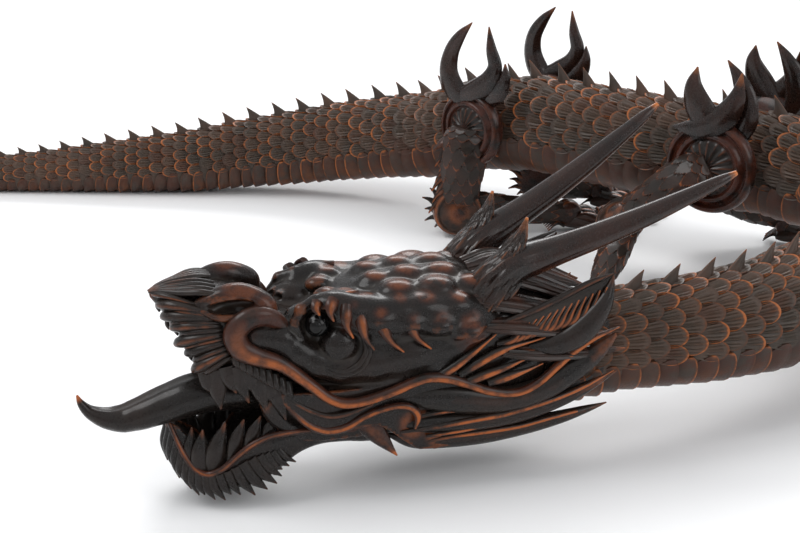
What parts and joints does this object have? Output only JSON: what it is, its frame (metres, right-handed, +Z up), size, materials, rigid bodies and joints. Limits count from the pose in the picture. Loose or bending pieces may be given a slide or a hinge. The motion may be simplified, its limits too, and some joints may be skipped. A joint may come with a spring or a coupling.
{
  "type": "articulated dragon ornament",
  "caption": "Articulated carved wooden dragon with a pinned body chain, hinged jaw, tongue, legs and toes, resting on a flat surface.",
  "frame": {"origin": "on the floor, at the middle of the bounding box in X and Y", "axes": "+Z up, the tail runs towards -X, the head is on the -Y side and looks towards -X"},
  "size_m": [0.4943, 0.3302, 0.1002],
  "materials": {
    "scaled_wood": "dark stained boxwood, satin, worn amber on the scale rims",
    "carved_wood": "dark stained boxwood, polished, worn amber on ridges",
    "horn_wood": "dark stained boxwood, polished, amber tips",
    "dark_eye": "black glossy inlay",
    "metal_pin": "tarnished"
  },
  "bodies": {
    "neck_8": {"neck_8": "scaled_wood"},
    "neck_7": {"neck_7": "scaled_wood"},
    "neck_6": {"neck_6": "scaled_wood"},
    "neck_5": {"neck_5": "scaled_wood"},
    "neck_4": {"neck_4": "scaled_wood"},
    "neck_3": {"neck_3": "scaled_wood"},
    "neck_2": {"neck_2": "scaled_wood"},
    "neck_1": {"neck_1": "scaled_wood"},
    "chest": {"chest": "scaled_wood"},
    "trunk_1": {"trunk_1": "scaled_wood"},
    "trunk_2": {"trunk_2": "scaled_wood"},
    "trunk_3": {"trunk_3": "scaled_wood"},
    "pelvis": {"pelvis": "scaled_wood"},
    "tail_1": {"tail_1": "scaled_wood"},
    "tail_2": {"tail_2": "scaled_wood"},
    "tail_3": {"tail_3": "scaled_wood"},
    "tail_4": {"tail_4": "scaled_wood"},
    "tail_5": {"tail_5": "scaled_wood"},
    "tail_6": {"tail_6": "scaled_wood"},
    "tail_7": {"tail_7": "scaled_wood"},
    "tail_8": {"tail_8": "scaled_wood"},
    "tail_9": {"tail_9": "scaled_wood"},
    "tail_10": {"tail_10": "scaled_wood"},
    "tail_11": {"tail_11": "scaled_wood"},
    "tail_12": {"tail_12": "scaled_wood"},
    "tail_13": {"tail_13": "scaled_wood"},
    "tail_tip": {"tail_tip": "scaled_wood"},
    "head": {"skull": "carved_wood", "horn_left": "horn_wood", "horn_right": "horn_wood", "ear_left": "carved_wood", "ear_right": "carved_wood", "eyes": "dark_eye", "jaw_pin": "metal_pin"},
    "jaw": {"lower_jaw": "carved_wood", "tongue_pin": "metal_pin"},
    "tongue": {"tongue": "carved_wood"},
    "fore_right_upper_leg": {"fore_right_upper_leg": "carved_wood", "fore_right_flames": "horn_wood"},
    "fore_right_lower_leg": {"fore_right_lower_leg": "carved_wood"},
    "fore_right_foot": {"fore_right_foot": "carved_wood"},
    "fore_right_toes": {"fore_right_toes": "carved_wood"},
    "fore_left_upper_leg": {"fore_left_upper_leg": "carved_wood", "fore_left_flames": "horn_wood"},
    "fore_left_lower_leg": {"fore_left_lower_leg": "carved_wood"},
    "fore_left_foot": {"fore_left_foot": "carved_wood"},
    "fore_left_toes": {"fore_left_toes": "carved_wood"},
    "hind_right_upper_leg": {"hind_right_upper_leg": "carved_wood", "hind_right_flames": "horn_wood"},
    "hind_right_lower_leg": {"hind_right_lower_leg": "carved_wood"},
    "hind_right_foot": {"hind_right_foot": "carved_wood"},
    "hind_right_toes": {"hind_right_toes": "carved_wood"},
    "hind_left_upper_leg": {"hind_left_upper_leg": "carved_wood", "hind_left_flames": "horn_wood"},
    "hind_left_lower_leg": {"hind_left_lower_leg": "carved_wood"},
    "hind_left_foot": {"hind_left_foot": "carved_wood"},
    "hind_left_toes": {"hind_left_toes": "carved_wood"}
  },
  "joints": [
    {"name": "neck_1_bend", "type": "hinge", "parent": "chest", "child": "neck_1", "pos_m": [0.19844, 0.0191, 0.047], "axis": [0.0476, -0.051, 0.9976], "range_deg": [-19, 41]},
    {"name": "neck_2_bend", "type": "hinge", "parent": "neck_1", "child": "neck_2", "pos_m": [0.21545, 0.00086, 0.04526], "axis": [-0.0384, 0.1338, -0.9903], "range_deg": [-57, 3]},
    {"name": "neck_3_bend", "type": "hinge", "parent": "neck_2", "child": "neck_3", "pos_m": [0.22228, -0.02294, 0.04178], "axis": [-0.0331, -0.1705, 0.9848], "range_deg": [-3, 57]},
    {"name": "neck_4_bend", "type": "hinge", "parent": "neck_3", "child": "neck_4", "pos_m": [0.21758, -0.04711, 0.03744], "axis": [0.0838, 0.1111, -0.9903], "range_deg": [-56, 4]},
    {"name": "neck_5_bend", "type": "hinge", "parent": "neck_4", "child": "neck_5", "pos_m": [0.20268, -0.06688, 0.03396], "axis": [-0.0648, -0.0583, 0.9962], "range_deg": [-19, 41]},
    {"name": "neck_6_bend", "type": "hinge", "parent": "neck_5", "child": "neck_6", "pos_m": [0.18417, -0.08355, 0.03178], "axis": [0.5878, -0.809, 0], "range_deg": [-11, 16]},
    {"name": "neck_7_bend", "type": "hinge", "parent": "neck_6", "child": "neck_7", "pos_m": [0.16477, -0.09764, 0.03094], "axis": [0.0154, 0.0082, 0.9998], "range_deg": [-22, 38]},
    {"name": "neck_8_bend", "type": "hinge", "parent": "neck_7", "child": "neck_8", "pos_m": [0.14358, -0.10891, 0.03136], "axis": [-0.0164, -0.006, -0.9998], "range_deg": [-38, 22]},
    {"name": "head_nod", "type": "hinge", "parent": "neck_8", "child": "head", "pos_m": [0.12103, -0.11712, 0.03178], "axis": [-0.2924, 0.9563, 0], "range_deg": [-12, 15]},
    {"name": "jaw_open", "type": "hinge", "parent": "head", "child": "jaw", "pos_m": [0.04644, -0.13992, 0.0225], "axis": [0.2924, -0.9563, 0], "range_deg": [-4, 12]},
    {"name": "tongue_wag", "type": "hinge", "parent": "jaw", "child": "tongue", "pos_m": [0.03209, -0.14431, 0.0175], "axis": [0.2924, -0.9563, 0], "range_deg": [-2, 7]},
    {"name": "trunk_1_bend", "type": "hinge", "parent": "chest", "child": "trunk_1", "pos_m": [0.17256, 0.03791, 0.047], "axis": [0, 0, -1], "range_deg": [-32, 28]},
    {"name": "trunk_2_bend", "type": "hinge", "parent": "trunk_1", "child": "trunk_2", "pos_m": [0.15285, 0.0533, 0.047], "axis": [-0.6157, -0.788, 0], "range_deg": [-14, 14]},
    {"name": "trunk_3_bend", "type": "hinge", "parent": "trunk_2", "child": "trunk_3", "pos_m": [0.1337, 0.06937, 0.047], "axis": [0, 0, -1], "range_deg": [-32, 28]},
    {"name": "pelvis_bend", "type": "hinge", "parent": "trunk_3", "child": "pelvis", "pos_m": [0.11513, 0.08609, 0.047], "axis": [0, 0, 1], "range_deg": [-28, 32]},
    {"name": "tail_1_bend", "type": "hinge", "parent": "pelvis", "child": "tail_1", "pos_m": [0.09246, 0.10798, 0.04144], "axis": [0.1249, -0.1206, -0.9848], "range_deg": [-24, 36]},
    {"name": "tail_2_bend", "type": "hinge", "parent": "tail_1", "child": "tail_2", "pos_m": [0.07297, 0.12321, 0.03341], "axis": [-0.2435, 0.1902, 0.9511], "range_deg": [-39, 21]},
    {"name": "tail_3_bend", "type": "hinge", "parent": "tail_2", "child": "tail_3", "pos_m": [0.05144, 0.13514, 0.02907], "axis": [0.1519, -0.0842, -0.9848], "range_deg": [-21, 39]},
    {"name": "tail_4_bend", "type": "hinge", "parent": "tail_3", "child": "tail_4", "pos_m": [0.0283, 0.14357, 0.02473], "axis": [-0.1632, 0.0594, 0.9848], "range_deg": [-39, 21]},
    {"name": "tail_5_bend", "type": "hinge", "parent": "tail_4", "child": "tail_5", "pos_m": [0.0051, 0.14808, 0.02056], "axis": [0.1705, -0.0331, -0.9848], "range_deg": [-23, 37]},
    {"name": "tail_6_bend", "type": "hinge", "parent": "tail_5", "child": "tail_6", "pos_m": [-0.01861, 0.14973, 0.01722], "axis": [-0.1388, 0.0097, 0.9903], "range_deg": [-35, 25]},
    {"name": "tail_7_bend", "type": "hinge", "parent": "tail_6", "child": "tail_7", "pos_m": [-0.04138, 0.14934, 0.01402], "axis": [-0.0175, 0.9998, 0], "range_deg": [-17, 10]},
    {"name": "tail_8_bend", "type": "hinge", "parent": "tail_7", "child": "tail_8", "pos_m": [-0.06432, 0.14894, 0.01241], "axis": [-0.0697, -0.0012, 0.9976], "range_deg": [-29, 31]},
    {"name": "tail_9_bend", "type": "hinge", "parent": "tail_8", "child": "tail_9", "pos_m": [-0.08627, 0.14894, 0.01088], "axis": [0.0698, 0, -0.9976], "range_deg": [-30, 30]},
    {"name": "tail_10_bend", "type": "hinge", "parent": "tail_9", "child": "tail_10", "pos_m": [-0.10722, 0.14894, 0.00941], "axis": [0, -1, 0], "range_deg": [-12, 15]},
    {"name": "tail_11_bend", "type": "hinge", "parent": "tail_10", "child": "tail_11", "pos_m": [-0.12719, 0.14894, 0.00837], "axis": [0.0523, 0, -0.9986], "range_deg": [-30, 30]},
    {"name": "tail_12_bend", "type": "hinge", "parent": "tail_11", "child": "tail_12", "pos_m": [-0.14616, 0.14894, 0.00737], "axis": [-0.0523, 0, 0.9986], "range_deg": [-30, 30]},
    {"name": "tail_13_bend", "type": "hinge", "parent": "tail_12", "child": "tail_13", "pos_m": [-0.16414, 0.14894, 0.00643], "axis": [0.0523, 0, -0.9986], "range_deg": [-30, 30]},
    {"name": "tail_tip_bend", "type": "hinge", "parent": "tail_13", "child": "tail_tip", "pos_m": [-0.18111, 0.14894, 0.00554], "axis": [-0.0523, 0, 0.9986], "range_deg": [-30, 30]},
    {"name": "fore_right_shoulder", "type": "hinge", "parent": "chest", "child": "fore_right_upper_leg", "pos_m": [0.17316, 0.01151, 0.05], "axis": [-0.5878, -0.809, 0], "range_deg": [-6, 30]},
    {"name": "fore_right_elbow", "type": "hinge", "parent": "fore_right_upper_leg", "child": "fore_right_lower_leg", "pos_m": [0.13948, 0.0162, 0.026], "axis": [-0.5858, -0.2304, 0.777], "range_deg": [-20, 25]},
    {"name": "fore_right_wrist", "type": "hinge", "parent": "fore_right_lower_leg", "child": "fore_right_foot", "pos_m": [0.12876, -0.01557, 0.0085], "axis": [-0.8192, 0.5736, 0], "range_deg": [-20, 20]},
    {"name": "fore_right_toe_curl", "type": "hinge", "parent": "fore_right_foot", "child": "fore_right_toes", "pos_m": [0.12159, -0.02581, 0.004], "axis": [0.8192, -0.5736, 0], "range_deg": [-15, 25]},
    {"name": "fore_left_shoulder", "type": "hinge", "parent": "chest", "child": "fore_left_upper_leg", "pos_m": [0.19784, 0.04549, 0.05], "axis": [-0.5878, -0.809, 0], "range_deg": [-20, 30]},
    {"name": "fore_left_elbow", "type": "hinge", "parent": "fore_left_upper_leg", "child": "fore_left_lower_leg", "pos_m": [0.1871, 0.06813, 0.023], "axis": [0.258, 0.7884, 0.5584], "range_deg": [-20, 25]},
    {"name": "fore_left_wrist", "type": "hinge", "parent": "fore_left_lower_leg", "child": "fore_left_foot", "pos_m": [0.2171, 0.06858, 0.0085], "axis": [0.342, 0.9397, 0], "range_deg": [-20, 14]},
    {"name": "fore_left_toe_curl", "type": "hinge", "parent": "fore_left_foot", "child": "fore_left_toes", "pos_m": [0.22884, 0.06431, 0.004], "axis": [0.342, 0.9397, 0], "range_deg": [-15, 25]},
    {"name": "hind_right_hip", "type": "hinge", "parent": "pelvis", "child": "hind_right_upper_leg", "pos_m": [0.0892, 0.08193, 0.04722], "axis": [-0.6947, -0.7193, 0], "range_deg": [-20, 12]},
    {"name": "hind_right_knee", "type": "hinge", "parent": "hind_right_upper_leg", "child": "hind_right_lower_leg", "pos_m": [0.07933, 0.08035, 0.01122], "axis": [0.1345, -0.9909, 0.0068], "range_deg": [-25, 5]},
    {"name": "hind_right_ankle", "type": "hinge", "parent": "hind_right_lower_leg", "child": "hind_right_foot", "pos_m": [0.12731, 0.08684, 0.0085], "axis": [0.1392, -0.9903, 0], "range_deg": [-8, 20]},
    {"name": "hind_right_toe_curl", "type": "hinge", "parent": "hind_right_foot", "child": "hind_right_toes", "pos_m": [0.13969, 0.08858, 0.004], "axis": [-0.1392, 0.9903, 0], "range_deg": [-15, 25]},
    {"name": "hind_left_hip", "type": "hinge", "parent": "pelvis", "child": "hind_left_upper_leg", "pos_m": [0.11838, 0.11215, 0.04722], "axis": [-0.6947, -0.7193, 0], "range_deg": [-20, 20]},
    {"name": "hind_left_knee", "type": "hinge", "parent": "hind_left_upper_leg", "child": "hind_left_lower_leg", "pos_m": [0.11818, 0.12346, 0.01322], "axis": [0.2195, 0.9261, 0.3068], "range_deg": [-20, 25]},
    {"name": "hind_left_ankle", "type": "hinge", "parent": "hind_left_lower_leg", "child": "hind_left_foot", "pos_m": [0.14656, 0.11829, 0.0085], "axis": [0.4226, 0.9063, 0], "range_deg": [-20, 0]},
    {"name": "hind_left_toe_curl", "type": "hinge", "parent": "hind_left_foot", "child": "hind_left_toes", "pos_m": [0.15789, 0.11301, 0.004], "axis": [0.4226, 0.9063, 0], "range_deg": [-15, 25]}
  ]
}
